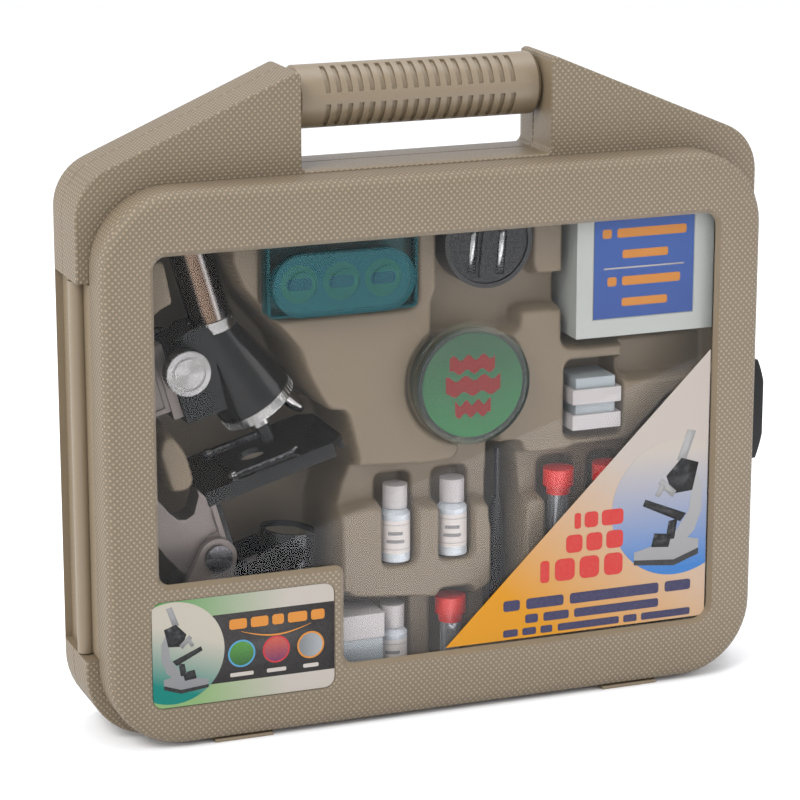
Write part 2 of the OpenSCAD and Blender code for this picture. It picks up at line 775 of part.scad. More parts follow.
module slide_box() {
    color([0.72, 0.76, 0.72]) difference() {
        box(slide_x0, slide_x1, -19, mid_depth_y, slide_z0, slide_z1);
        box(slide_x0 + 1.6, slide_x1 - 1.6, -20, mid_depth_y - 1.6, slide_z0 + 1.6, slide_z1 - 1.6);
    }
}
module slide_box_lid() {
    color([0.72, 0.76, 0.72]) difference() {
        box(slide_x0, slide_x1, -27, -19, slide_z0, slide_z1);
        box(slide_x0 + 1.6, slide_x1 - 1.6, -25.4, -18, slide_z0 + 1.6, slide_z1 - 1.6);
        box(82.4, 137.6, -28, -26.6, slide_z0 + 9, slide_z1 - 3);
    }
}
module slide_box_label() {
    color("steelblue") box(82.7, 137.3, -26.9, -26.6, slide_z0 + 9.3, slide_z1 - 3.3);
}
module glass_slides() {
    color([0.8, 0.9, 0.9, 0.4]) for (i = [0 : 2], j = [0 : 1])
        box(75.4 + i * 24, 98.4 + i * 24, j * 1.6 - 2, j * 1.6 - 1, slide_z0 + 1.8, slide_z1 - 3);
}
stack_z = [137.2, 150.4];
module small_boxes() {
    color([0.75, 0.76, 0.76]) {
        for (z = stack_z) difference() {
            box(75.6, 97.4, -22.6, -0.4, z + 1.2, z + 13.2);
            box(76.6, 96.4, -21.6, -1.4, z, z + 12.2);
        }
        difference() {
            box(-50.8, -27.6, -22.6, -2, 25.6, 50);
            box(-49.8, -28.6, -21.6, -3, 26.6, 51);
        }
    }
}
module small_box_lids() {
    color([0.8, 0.78, 0.77]) {
        for (z = stack_z) difference() {
            box(73.2, 100, -24.6, 1.6, z, z + 7.8);
            box(75.2, 98, -22.9, -0.1, z + 1.2, z + 9);
        }
        difference() {
            box(-51.4, -27, -23.4, -1.2, 40.6, 53.4);
            box(-50.9, -27.5, -22.9, -1.7, 39, 52);
        }
    }
}
module bottle(l) {
    difference() {
        union() {
            cylinder(r = bottle_r, h = l * 0.62);
            translate([0, 0, l * 0.62]) cylinder(r1 = bottle_r, r2 = 5.2, h = l * 0.07);
            cylinder(r = 4.2, h = l - 1.6);
        }
        translate([0, 0, 1]) cylinder(r = bottle_r - 1, h = l * 0.62 - 1.4);
        translate([0, 0, 1]) cylinder(r = 3.2, h = l);
    }
}
module bottles() {
    color([0.75, 0.77, 0.77, 0.6]) {
        for (x = bottle_x) translate([x, rest_y, bottle_low]) bottle(bottle_len);
        translate([bottle_c[0], rest_y, bottle_c[1]]) bottle(bottle_len);
    }
}
module bottle_cap(x, low) {
    color([0.8, 0.8, 0.8]) translate([x, rest_y, low + bottle_len * 0.7]) difference() {
        cylinder(r = 6.15, h = bottle_len * 0.3);
        translate([0, 0, -1]) cylinder(r = 4.2 + fit, h = bottle_len * 0.3 - 0.4);
    }
}
module bottle_cap_a() {
    bottle_cap(bottle_x[0], bottle_low);
}
module bottle_cap_b() {
    bottle_cap(bottle_x[1], bottle_low);
}
module bottle_cap_c() {
    bottle_cap(bottle_c[0], bottle_c[1]);
}
vial_spots = [[vial_x[0], vial_low], [vial_x[1], vial_low], vial_c];
module vials() {
    color([0.8, 0.85, 0.85, 0.4]) for (v = vial_spots) translate([v[0], rest_y, v[1]]) difference() {
        cylinder(r = vial_r, h = vial_len - 1.4);
        translate([0, 0, 1]) cylinder(r = vial_r - 0.8, h = vial_len);
    }
}
module vial_caps() {
    color("red") for (v = vial_spots) translate([v[0], rest_y, v[1] + vial_len]) {
        translate([0, 0, -1.4]) cylinder(r = 7.8, h = 1.4);
        difference() {
            translate([0, 0, -9]) cylinder(r = 7.8, h = 9);
            translate([0, 0, -10]) cylinder(r = vial_r, h = 8.6);
        }
        difference() {
            translate([0, 0, -13.2]) cylinder(r = 6.1, h = 4.4);
            translate([0, 0, -14]) cylinder(r = vial_r, h = 8);
        }
    }
}
module scalpel() {
    color("dimgray") {
        translate([41.4, -2, 34]) cylinder(r = 3.4, h = 60);
        translate([41.4, -2, 94]) cylinder(r1 = 3.4, r2 = 2, h = 6);
        box(40.9, 41.9, -4, 0, 98, 126);
    }
}

case_back();
hinge_pin();
latch_pin();
handle_tube();
grip();
lid_frame();
window_pane();
lid_label();
window_print();
lid_feet();
back_feet();
latch();
insert_tray();
scope_base();
base_pad();
inclination_bolt();
scope_arm();
stage();
stage_bracket();
clip_near();
clip_far();
clip_studs();
focus_rack();
scope_head();
scope_tube();
tube_ring();
eyepiece();
eyepiece_lens();
focus_shaft();
focus_knobs();
nosepiece();
turret_screw();
objective_long();
objectives_short();
illuminator_fork();
illuminator_drum();
illuminator_mirror();
illuminator_lamp();
petri_base();
petri_lid();
petri_card();
hatchery_base();
hatchery_lid();
hatchery_card();
slicer_body();
slicer_dial();
slide_box();
slide_box_lid();
slide_box_label();
glass_slides();
small_boxes();
small_box_lids();
bottles();
bottle_cap_a();
bottle_cap_b();
bottle_cap_c();
vials();
vial_caps();
scalpel();
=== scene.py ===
import math
import bpy
import bmesh
import numpy as np
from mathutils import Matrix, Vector


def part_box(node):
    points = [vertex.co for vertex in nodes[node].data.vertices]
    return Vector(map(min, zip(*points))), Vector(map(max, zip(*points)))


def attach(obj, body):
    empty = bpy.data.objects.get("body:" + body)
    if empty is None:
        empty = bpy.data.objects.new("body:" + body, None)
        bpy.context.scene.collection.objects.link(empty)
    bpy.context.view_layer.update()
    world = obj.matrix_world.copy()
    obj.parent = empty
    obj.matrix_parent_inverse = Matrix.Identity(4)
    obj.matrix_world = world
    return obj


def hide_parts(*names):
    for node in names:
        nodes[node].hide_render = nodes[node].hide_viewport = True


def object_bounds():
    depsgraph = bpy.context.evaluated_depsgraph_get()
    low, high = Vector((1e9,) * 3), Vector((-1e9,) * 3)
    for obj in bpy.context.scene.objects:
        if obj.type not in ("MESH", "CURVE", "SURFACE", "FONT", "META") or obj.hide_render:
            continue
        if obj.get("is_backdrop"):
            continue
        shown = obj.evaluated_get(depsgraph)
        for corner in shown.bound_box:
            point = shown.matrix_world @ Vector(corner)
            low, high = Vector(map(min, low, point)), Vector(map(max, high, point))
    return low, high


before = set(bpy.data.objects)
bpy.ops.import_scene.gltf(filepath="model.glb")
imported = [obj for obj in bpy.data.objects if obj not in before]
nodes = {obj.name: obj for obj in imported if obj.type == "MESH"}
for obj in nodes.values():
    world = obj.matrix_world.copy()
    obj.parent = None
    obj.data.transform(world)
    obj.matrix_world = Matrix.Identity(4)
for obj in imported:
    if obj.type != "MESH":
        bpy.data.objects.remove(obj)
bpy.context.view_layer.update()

MM = 0.001


# ---------------------------------------------------------------- materials
def srgb(r, g, b):
    return tuple(((c / 255 + 0.055) / 1.055) ** 2.4 if c > 10 else c / 255 / 12.92 for c in (r, g, b))


class Shade:
    """One Principled material with helpers for its procedural nodes."""

    def __init__(self, name, rough=0.5, metal=0.0):
        self.m = bpy.data.materials.new(name)
        self.m.use_nodes = True
        self.t = self.m.node_tree
        self.t.nodes.clear()
        out = self.t.nodes.new("ShaderNodeOutputMaterial")
        self.b = self.t.nodes.new("ShaderNodeBsdfPrincipled")
        self.t.links.new(self.b.outputs[0], out.inputs[0])
        self.set("Roughness", rough)
        self.set("Metallic", metal)
        co = self.t.nodes.new("ShaderNodeTexCoord")
        self.co = co.outputs["Object"]
        self.no = co.outputs["Normal"]

    def put(self, socket, value):
        if isinstance(value, bpy.types.NodeSocket):
            self.t.links.new(value, socket)
        elif hasattr(socket, "default_value"):
            socket.default_value = value

    def math(self, op, a, b=0.0, c=0.0, clamp=False):
        n = self.t.nodes.new("ShaderNodeMath")
        n.operation = op
        n.use_clamp = clamp
        for i, v in enumerate((a, b, c)):
            self.put(n.inputs[i], v)
        return n.outputs[0]

    def split(self, vec):
        n = self.t.nodes.new("ShaderNodeSeparateXYZ")
        self.put(n.inputs[0], vec)
        return n.outputs

    def noise(self, scale, detail=3.0, stretch=None):
        n = self.t.nodes.new("ShaderNodeTexNoise")
        src = self.co
        if stretch:
            mp = self.t.nodes.new("ShaderNodeMapping")
            self.put(mp.inputs["Vector"], self.co)
            mp.inputs["Scale"].default_value = stretch
            src = mp.outputs[0]
        self.put(n.inputs["Vector"], src)
        n.inputs["Scale"].default_value = scale
        n.inputs["Detail"].default_value = detail
        return n.outputs["Fac"]

    def remap(self, v, a, b, c, d):
        n = self.t.nodes.new("ShaderNodeMapRange")
        n.clamp = True
        for i, x in enumerate((v, a, b, c, d)):
            self.put(n.inputs[i], x)
        return n.outputs[0]

    def mix(self, f, a, b):
        n = self.t.nodes.new("ShaderNodeMix")
        n.data_type = "RGBA"
        self.put(n.inputs["Factor"], f)
        self.put(n.inputs["A"], (*a, 1) if isinstance(a, tuple) else a)
        self.put(n.inputs["B"], (*b, 1) if isinstance(b, tuple) else b)
        return n.outputs["Result"]

    def color(self, v):
        self.put(self.b.inputs["Base Color"], (*v, 1) if isinstance(v, tuple) else v)

    def rough(self, v):
        self.put(self.b.inputs["Roughness"], v)

    def bump(self, h, dist, strength=1.0):
        n = self.t.nodes.new("ShaderNodeBump")
        n.inputs["Strength"].default_value = strength
        n.inputs["Distance"].default_value = dist
        self.put(n.inputs["Height"], h)
        self.t.links.new(n.outputs[0], self.b.inputs["Normal"])

    def set(self, name, value):
        self.b.inputs[name].default_value = value


def tone(c, k):
    return tuple(min(1.0, x * k) for x in c)


def moulded(name, c, rough, var, grain, depth, metal=0.0, coat=0.0, gloss=0.5):
    """Moulded, painted or cast surface: slow colour drift, fine grain in gloss and relief."""
    s = Shade(name, rough, metal)
    s.color(s.mix(s.noise(35), tone(c, 1 - var), tone(c, 1 + var)))
    fine = s.noise(grain, 4)
    s.rough(s.remap(fine, 0.3, 0.7, max(0.02, rough - 0.07), min(1, rough + 0.07)))
    s.bump(fine, depth)
    s.set("Coat Weight", coat)
    s.set("Coat Roughness", 0.06)
    s.set("Specular IOR Level", gloss)
    return s.m


def clear(name, c, low, gain, rough, milk=0.0):
    """Thin clear wall: mostly open, mirror-like towards its edges."""
    s = Shade(name, rough, 1.0 - milk)
    s.color(s.mix(s.noise(60), tone(c, 0.93), c))
    f = s.t.nodes.new("ShaderNodeFresnel")
    f.inputs["IOR"].default_value = 1.45
    s.put(s.b.inputs["Alpha"], s.math("MULTIPLY_ADD", f.outputs[0], gain, low, clamp=True))
    s.rough(s.remap(s.noise(300), 0.3, 0.7, rough * 0.6, rough * 1.5))
    return s.m


TAUPE = tone(srgb(146, 129, 104), 0.56)
DOT_PITCH_ACROSS = 3.0
DOT_PITCH_UP = 1.65


def dotted_shell():
    """Shell plastic with staggered raised dots; each side of the shell takes its own two axes. The dot tops
    carry painted light and the ground between them carries painted shade.
    """
    s = Shade("shell_dots", 0.5)
    p = s.split(s.co)
    n = s.split(s.no)
    ax, ay, az = (s.math("ABSOLUTE", n[i]) for i in range(3))
    is_y = s.math("GREATER_THAN", s.math("ADD", ay, 0.06), s.math("MAXIMUM", ax, az))
    not_y = s.math("SUBTRACT", 1.0, is_y)
    side = s.math("GREATER_THAN", ax, az)
    is_x = s.math("MULTIPLY", side, not_y)
    is_z = s.math("MULTIPLY", s.math("SUBTRACT", 1.0, side), not_y)

    def pick(a, b, f):
        return s.math("ADD", s.math("MULTIPLY", a, s.math("SUBTRACT", 1.0, f)), s.math("MULTIPLY", b, f))

    u = s.math("MULTIPLY", pick(p[0], p[1], is_x), 1 / (DOT_PITCH_ACROSS * MM))
    v = s.math("MULTIPLY", pick(p[2], p[1], is_z), 1 / (DOT_PITCH_UP * MM))
    row = s.math("FLOOR", v)
    odd = s.math("MULTIPLY", s.math("FLOORED_MODULO", row, 2.0), 0.5)
    fu = s.math("SUBTRACT", s.math("FRACT", s.math("ADD", u, odd)), 0.5)
    fv = s.math("SUBTRACT", s.math("FRACT", v), 0.5)
    du = s.math("MULTIPLY", fu, DOT_PITCH_ACROSS)
    dv = s.math("MULTIPLY", fv, DOT_PITCH_UP)
    d = s.math("SQRT", s.math("ADD", s.math("MULTIPLY", du, du), s.math("MULTIPLY", dv, dv)))
    dot = s.remap(d, 0.8, 0.2, 0.0, 1.0)
    drift = s.noise(28, 4)
    # painted shade on the ground between the dots and painted light on the dot tops: one plastic, coloured
    # darker and lighter
    low = s.mix(drift, tone(TAUPE, 0.74), tone(TAUPE, 0.84))
    top = s.mix(drift, tone(TAUPE, 1.55), tone(TAUPE, 1.7))
    s.color(s.mix(dot, low, top))
    s.rough(s.remap(dot, 0, 1, 0.62, 0.42))
    h = s.math("ADD", dot, s.math("MULTIPLY", s.noise(1800, 3), 0.18))
    s.bump(h, 0.00022, 0.9)
    return s.m


MATS = {}
MATS["shell"] = dotted_shell()
MATS["shell_smooth"] = moulded("shell_smooth", tone(TAUPE, 1.1), 0.42, 0.05, 700, 0.00003)
MATS["tray"] = moulded("tray_sheet", srgb(110, 97, 79), 0.46, 0.06, 260, 0.00008, gloss=0.3)
MATS["black"] = moulded("black_enamel", (0.005, 0.0045, 0.004), 0.12, 0.2, 500, 0.000003, coat=0.05,
                        gloss=0.2)
MATS["black_satin"] = moulded("black_satin", (0.012, 0.012, 0.012), 0.38, 0.2, 900, 0.00004, gloss=0.3)
MATS["rubber"] = moulded("foot_rubber", (0.02, 0.02, 0.02), 0.8, 0.2, 1500, 0.0001)
MATS["cast"] = moulded("cast_silver_paint", srgb(114, 104, 98), 0.42, 0.08, 1300, 0.00006, metal=0.3,
                       coat=0.1)
MATS["dark_steel"] = moulded("dark_steel", (0.12, 0.115, 0.12), 0.3, 0.15, 1200, 0.00002, metal=1.0)
MATS["latch"] = moulded("latch_black", (0.005, 0.005, 0.005), 0.32, 0.15, 300, 0.00001, gloss=0.12)
MATS["red"] = moulded("red_cap", srgb(196, 40, 32), 0.35, 0.08, 600, 0.00003)
MATS["white_lid"] = moulded("white_lid", srgb(160, 154, 152), 0.42, 0.05, 500, 0.00003)
MATS["frosted"] = moulded("frosted_box", srgb(138, 144, 146), 0.35, 0.08, 400, 0.00002)
MATS["slide_box"] = moulded("slide_box_plastic", srgb(150, 152, 146), 0.38, 0.05, 500, 0.00003)
MATS["slicer"] = moulded("slicer_black", srgb(34, 33, 32), 0.35, 0.15, 700, 0.00001, gloss=0.3)
MATS["dial"] = moulded("dial_black", srgb(24, 24, 24), 0.28, 0.15, 700, 0.00001, gloss=0.3)
MATS["pane"] = clear("window_sheet", (0.95, 0.97, 1.0), 0.0, 0.22, 0.01)
MATS["clear"] = clear("clear_ware", (0.75, 0.85, 0.8), -0.06, 2.3, 0.05)
MATS["teal"] = clear("teal_ware", (0.004, 0.14, 0.16), 0.24, 1.6, 0.05, milk=0.6)
MATS["lens"] = clear("lens_glass", (0.85, 0.92, 1.0), 0.3, 2.0, 0.02)
MATS["mirror"] = moulded("mirror_silver", (0.75, 0.78, 0.8), 0.04, 0.04, 200, 0.0, metal=1.0)
MATS["bottle"] = clear("frosted_bottle", (0.66, 0.69, 0.72), 0.55, 1.0, 0.25, milk=0.9)
MATS["tube_clear"] = clear("vial_tube", (0.8, 0.82, 0.84), 0.14, 2.0, 0.08, milk=0.4)


def brushed(name, c, rough, stretch, depth=0.00002, var=0.12):
    """Metal with fine lines, drawn out across the axes that stretch scales up."""
    s = Shade(name, rough, 1.0)
    lines = s.noise(400, 2, stretch)
    s.color(s.mix(lines, tone(c, 1 - var), tone(c, 1 + var)))
    s.rough(s.remap(lines, 0.3, 0.7, rough * 0.7, rough * 1.4))
    s.bump(lines, depth)
    return s.m


MATS["chrome"] = brushed("chrome", (0.36, 0.34, 0.33), 0.12, (1, 1, 1), 0.000002, 0.05)
MATS["steel"] = brushed("satin_steel", (0.4, 0.385, 0.38), 0.26, (1, 12, 1))


# the microscope leans by this angle in the tray; the tube's two edges are measured across that lean
SCOPE_LEAN = 16
TUBE_LEFT = -57.5
TUBE_RIGHT = -36.5


def painted_reflection_tube():
    """Polished tube: lengthwise bands across its width are painted reflections and painted shade, not
    plating.
    """
    s = Shade("tube_with_painted_reflections", 0.14, 1.0)
    p = s.split(s.co)
    lean = math.radians(SCOPE_LEAN)
    across = s.math("ADD", s.math("MULTIPLY", p[0], math.cos(lean)), s.math("MULTIPLY", p[2], math.sin(lean)))
    t = s.remap(across, TUBE_LEFT * MM, TUBE_RIGHT * MM, 0, 1)
    n = s.t.nodes.new("ShaderNodeValToRGB")
    s.put(n.inputs[0], t)
    e = n.color_ramp.elements
    # painted reflections across the tube: a grey band at one edge, a warm brown stripe and a bright line,
    # then painted shade on the dark far side
    e[0].position, e[0].color = 0.0, (0.1, 0.09, 0.085, 1)
    e[1].position, e[1].color = 1.0, (0.05, 0.045, 0.04, 1)
    reflection_bands = ((0.2, (0.08, 0.07, 0.06)), (0.3, (0.15, 0.1, 0.07)), (0.5, (0.1, 0.065, 0.045)),
             (0.58, (0.34, 0.31, 0.29)), (0.66, (0.05, 0.042, 0.04)))
    for place, band in reflection_bands:
        e.new(place).color = (*band, 1)
    s.color(n.outputs[0])
    s.rough(s.remap(s.noise(60, 2), 0.3, 0.7, 0.2, 0.26))
    return s.m


MATS["tube"] = painted_reflection_tube()
MATS["knurl"] = brushed("knurled_chrome", (0.3, 0.29, 0.28), 0.2, (1, 3, 1))


RING_PITCH = 0.45


def radial_knob():
    """Turned face: fine rings about the knob's own axis."""
    s = Shade("turned_knob", 0.2, 1.0)
    lo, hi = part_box("focus_knobs")
    c = (lo + hi) / 2
    p = s.split(s.co)
    dx = s.math("SUBTRACT", p[0], c[0])
    dz = s.math("SUBTRACT", p[2], c[2])
    r = s.math("SQRT", s.math("ADD", s.math("MULTIPLY", dx, dx), s.math("MULTIPLY", dz, dz)))
    rings = s.math("SINE", s.math("MULTIPLY", r, 2 * math.pi / (RING_PITCH * MM)))
    s.color(s.mix(s.remap(rings, -1, 1, 0, 1), (0.2, 0.19, 0.185), (0.32, 0.31, 0.3)))
    s.bump(rings, 0.00004, 0.6)
    s.set("Anisotropic", 0.7)
    return s.m


MATS["knob"] = radial_knob()


# ---------------------------------------------------------------- mesh helpers
def make(name, verts, faces, mat, smooth=True, sharp=35):
    me = bpy.data.meshes.new(name)
    me.from_pydata([tuple(v) for v in verts], [], faces)
    me.validate()
    me.update()
    bm = bmesh.new()
    bm.from_mesh(me)
    bmesh.ops.recalc_face_normals(bm, faces=bm.faces)
    bm.to_mesh(me)
    bm.free()
    o = bpy.data.objects.new(name, me)
    bpy.context.scene.collection.objects.link(o)
    for m in mat if isinstance(mat, (list, tuple)) else [mat]:
        me.materials.append(m)
    if smooth:
        smooth_by_angle(o, sharp)
    return o


def smooth_by_angle(o, deg):
    """Smooth shading that stays sharp where faces meet at more than deg degrees."""
    me = o.data
    for p in me.polygons:
        p.use_smooth = True
    bm = bmesh.new()
    bm.from_mesh(me)
    lim = math.radians(deg)
    flags = []
    for ed in bm.edges:
        flags.append(len(ed.link_faces) != 2 or ed.calc_face_angle(0) > lim)
    bm.free()
    att = me.attributes.get("sharp_edge") or me.attributes.new("sharp_edge", "BOOLEAN", "EDGE")
    att.data.foreach_set("value", flags)


def loft(name, loops, mat, sharp=35):
    """Skin over closed loops of equal length, capped at both ends."""
    n = len(loops[0])
    verts = [v for lp in loops for v in lp]
    faces = []
    for k in range(len(loops) - 1):
        a, b = k * n, (k + 1) * n
        faces += [(a + i, a + (i + 1) % n, b + (i + 1) % n, b + i) for i in range(n)]
    faces.append(tuple(range(n))[::-1])
    faces.append(tuple(range((len(loops) - 1) * n, len(loops) * n)))
    return make(name, verts, faces, mat, True, sharp)


def arc(cx, cz, r, a0, a1, n=8):
    """Points of an arc from a0 to a1 degrees, n steps."""
    return [(cx + r * math.cos(math.radians(a0 + (a1 - a0) * i / n)),
             cz + r * math.sin(math.radians(a0 + (a1 - a0) * i / n))) for i in range(n + 1)]


def rrect(x0, x1, z0, z1, r, inset=0.0, n=10):
    x0, x1, z0, z1 = x0 + inset, x1 - inset, z0 + inset, z1 - inset
    r = max(0.05, r - inset)
    return (arc(x1 - r, z0 + r, r, -90, 0, n) + arc(x1 - r, z1 - r, r, 0, 90, n)
            + arc(x0 + r, z1 - r, r, 90, 180, n) + arc(x0 + r, z0 + r, r, 180, 270, n))


def at_y(pts, y):
    return [(x * MM, y * MM, z * MM) for x, z in pts]


def rounded(name, outline, y0, y1, r0, r1, mat, steps=6, extra=()):
    """Solid between depths y0 and y1 with rounded edges; outline(inset) gives its points."""
    front = [(y0 + r0 * (1 - math.cos(math.pi / 2 * i / steps)), r0 * (1 - math.sin(math.pi / 2 * i / steps)))
             for i in range(steps + 1)]
    rear = [(y1 - r1 * (1 - math.sin(math.pi / 2 * i / steps)), r1 * (1 - math.cos(math.pi / 2 * i / steps)))
            for i in range(steps + 1)]
    stops = front + list(extra) + rear
    return loft(name, [at_y(outline(d), y) for y, d in stops], mat, 40)


def box_mesh(name, x0, x1, y0, y1, z0, z1):
    v = [(x * MM, y * MM, z * MM) for x in (x0, x1) for y in (y0, y1) for z in (z0, z1)]
    f = [(0, 1, 3, 2), (4, 6, 7, 5), (0, 4, 5, 1), (2, 3, 7, 6), (0, 2, 6, 4), (1, 5, 7, 3)]
    return make(name, v, f, MATS["shell_smooth"], False)


def cyl_mesh(name, axis, c, r, a0, a1, mat, n=48):
    """Cylinder along 'x', 'y' or 'z', from a0 to a1, about c in the other two coordinates (mm)."""
    loops = []
    for a in (a0, a1):
        pts = []
        for i in range(n):
            t = 2 * math.pi * i / n
            p, q = c[0] + r * math.cos(t), c[1] + r * math.sin(t)
            v = {"x": (a, p, q), "y": (p, a, q), "z": (p, q, a)}[axis]
            pts.append(tuple(k * MM for k in v))
        loops.append(pts)
    return loft(name, loops, mat)


def carve(o, cutters):
    """Cuts the solids out of o for good and takes them away."""
    for c in cutters:
        md = o.modifiers.new("cut", "BOOLEAN")
        md.operation = "DIFFERENCE"
        md.solver = "EXACT"
        md.object = c
        md.material_mode = "TRANSFER"
        bpy.context.view_layer.update()
        dg = bpy.context.evaluated_depsgraph_get()
        me = bpy.data.meshes.new_from_object(o.evaluated_get(dg))
        o.modifiers.clear()
        old = o.data
        o.data = me
        bpy.data.meshes.remove(old)
    for c in cutters:
        d = c.data
        bpy.data.objects.remove(c)
        bpy.data.meshes.remove(d)
    smooth_by_angle(o, 38)


def weld(o):
    o.modifiers.new("weld", "WELD").merge_threshold = 1e-6


def bevel(o, w, angle=35):
    b = o.modifiers.new("edge", "BEVEL")
    b.width = w * MM
    b.segments = 2
    b.limit_method = "ANGLE"
    b.angle_limit = math.radians(angle)
    n = o.modifiers.new("normals", "WEIGHTED_NORMAL")
    n.keep_sharp = True


# ---------------------------------------------------------------- rear shell
HALF = 178.0
FOOT = 1.8
TOP = 326.0
BODY = 277.0
SLOPE_DEG = 23
SLOPE = math.radians(SLOPE_DEG)
HANDLE_HALF = 65
LOW_CORNER = 34
SHOULDER = 26
TIP = 2.5
HANDLE_FILLET = 3


def rear_outline(d):
    """Outline of the rear shell shrunk by d: the right half from the bottom up, then its mirror image."""
    right = arc(HALF - LOW_CORNER, FOOT + LOW_CORNER, LOW_CORNER - d, -90, 0, 12)
    edge = TOP - (HALF - SHOULDER - HANDLE_HALF) * math.tan(SLOPE)
    right += arc(HALF - SHOULDER, edge - SHOULDER / math.cos(SLOPE), SHOULDER - d, 0, 90 - SLOPE_DEG, 10)
    k = max(TIP, d)
    pz = TOP - k / math.cos(SLOPE) - k * math.tan(SLOPE)
    right += arc(HANDLE_HALF + k, pz, max(0.02, TIP - d), 90 - SLOPE_DEG, 180, 6)
    right += arc(HANDLE_HALF - HANDLE_FILLET, BODY + HANDLE_FILLET, HANDLE_FILLET + d, 0, -90, 6)
    return right + [(-x, z) for x, z in reversed(right)]


groove = [(9.4, 0), (9.8, 0.35), (10.4, 0.35), (10.8, 0)]
shell = rounded("rear_shell", rear_outline, -13, 35, 1.2, 11, MATS["shell"], 7, groove)
cuts = [
    loft("c1", [at_y(rrect(-163, 165, 8, 269, 30), y) for y in (-20, 32.4)], MATS["shell_smooth"]),
    box_mesh("c2", -148, -103, -10.4, 31.5, 250, 285.5),
    box_mesh("c3", -190, -167.5, -20, 5.5, 43.2, 230.8),
    box_mesh("c4", -190, -173.9, 5, 27, 43.2, 230.8),
    box_mesh("c5", 170.6, 190, -20, 14, 112.4, 165.6),
    cyl_mesh("c6", "x", (11, 309), 4.0, -75, 75, MATS["shell_smooth"]),
]
carve(shell, cuts)
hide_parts("case_back")
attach(shell, "case")


def smooth_faces(o, test):
    """Gives the second material, the smooth one, to the faces that the test picks."""
    for p in o.data.polygons:
        if test(p.center / MM, p.normal):
            p.material_index = 1


if len(shell.data.materials) < 2:
    shell.data.materials.append(MATS["shell_smooth"])
smooth_faces(shell, lambda c, n: abs(n.x) > 0.9 and abs(c.x) < 70)
smooth_faces(shell, lambda c, n: n.z > 0.7 and abs(c.x) < 64 and c.z < 280)

# ---------------------------------------------------------------- lid
LID_HALF = 172.0
LID_TOP = 276.0
LID_CORNER = 38
LID_BACK = -13.6
LID_WALL = 2.6
FRONT = -35
WIN_HALF = 146.0
WIN_TOP = 245.0
WIN_LOW = 33.0
STEP_X = -52.0
STEP_Z = 84.6


def lid_outline(d):
    return rrect(-LID_HALF, LID_HALF, FOOT, LID_TOP, LID_CORNER, d, 12)


def window(o):
    """Window outline, larger by o; the step round the label is in its lower left."""
    return (arc(WIN_HALF - 8, WIN_LOW + 8, 8 + o, -90, 0, 6)
            + arc(WIN_HALF - 6, WIN_TOP - 6, 6 + o, 0, 90, 6)
            + arc(-WIN_HALF + 6, WIN_TOP - 6, 6 + o, 90, 180, 6)
            + arc(-WIN_HALF + 5, STEP_Z + 5, 5 + o, 180, 270, 6)
            + arc(STEP_X - 5, STEP_Z - 5, 5 - o, 90, 0, 6)
            + arc(STEP_X + 5, WIN_LOW + 5, 5 + o, 180, 270, 6))


lid = rounded("lid_shell", lid_outline, FRONT, LID_BACK, 7, 0.8, MATS["shell"], 7)
cuts = [
    rounded("l1", lambda d: lid_outline(d + LID_WALL), FRONT + LID_WALL, -5, 4.4, 0.01,
            MATS["shell_smooth"], 5),
    loft("l2", [at_y(window(2.6), -36), at_y(window(2.4), -34.9), at_y(window(0.3), -32.7),
                at_y(window(0.1), -31)], MATS["shell_smooth"]),
    loft("l3", [at_y(rrect(-151.5, -57.5, 22, 76.8, 6), y) for y in (-36, -34.2)], MATS["shell_smooth"]),
]
carve(lid, cuts)
strip = box_mesh("hinge_flange", -172, -169.4, -15, 0.6, 44, 230)
HINGE_AXIS = (-174.5, 0)
barrel = cyl_mesh("hinge_barrel", "z", HINGE_AXIS, 4, 44, 230, MATS["shell_smooth"])
carve(barrel, [cyl_mesh("b1", "z", HINGE_AXIS, 1.56, 40, 240, MATS["shell_smooth"])])
catch = box_mesh("latch_catch", 171, 173, -22, -20, 121, 157)
for o in (strip, catch):
    bevel(o, 0.4)
for o in (lid, strip, barrel, catch):
    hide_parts("lid_frame")
    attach(o, "lid")


# ---------------------------------------------------------------- tray
# every pocket is drawn on a fine grid, rounded there, and each second point makes the sheet
FINE = 0.5
EVERY = 2
X, Z = np.meshgrid(np.arange(-166, 168 + FINE, FINE), np.arange(5, 272 + FINE, FINE))


def inside(poly):
    """Marks the grid points inside a polygon."""
    out = np.zeros(X.shape, bool)
    n = len(poly)
    for i in range(n):
        x0, z0 = poly[i]
        x1, z1 = poly[(i + 1) % n]
        if z0 == z1:
            continue
        c = (z0 > Z) != (z1 > Z)
        out ^= c & (X < (x1 - x0) * (Z - z0) / (z1 - z0) + x0)
    return out


def blur(a, sigma):
    """Gaussian blur on the grid, sigma in mm."""
    r = int(4 * sigma / FINE)
    k = np.exp(-0.5 * (np.arange(-r, r + 1) * FINE / sigma) ** 2)
    k /= k.sum()
    p = np.pad(a, r, mode="edge")
    p = np.apply_along_axis(lambda v: np.convolve(v, k, "valid"), 0, p)
    return np.apply_along_axis(lambda v: np.convolve(v, k, "valid"), 1, p)


def region(items, islands=(), soft=1.8):
    """Grid points inside any item and outside every island, with corners rounded in plan."""
    m = np.zeros(X.shape, bool)
    for item in items:
        m |= inside(item)
    for island in islands:
        m &= ~inside(island)
    return blur(m.astype(float), soft) > 0.5


def rr(x0, x1, z0, z1, r):
    return rrect(x0, x1, z0, z1, r, 0, 4)


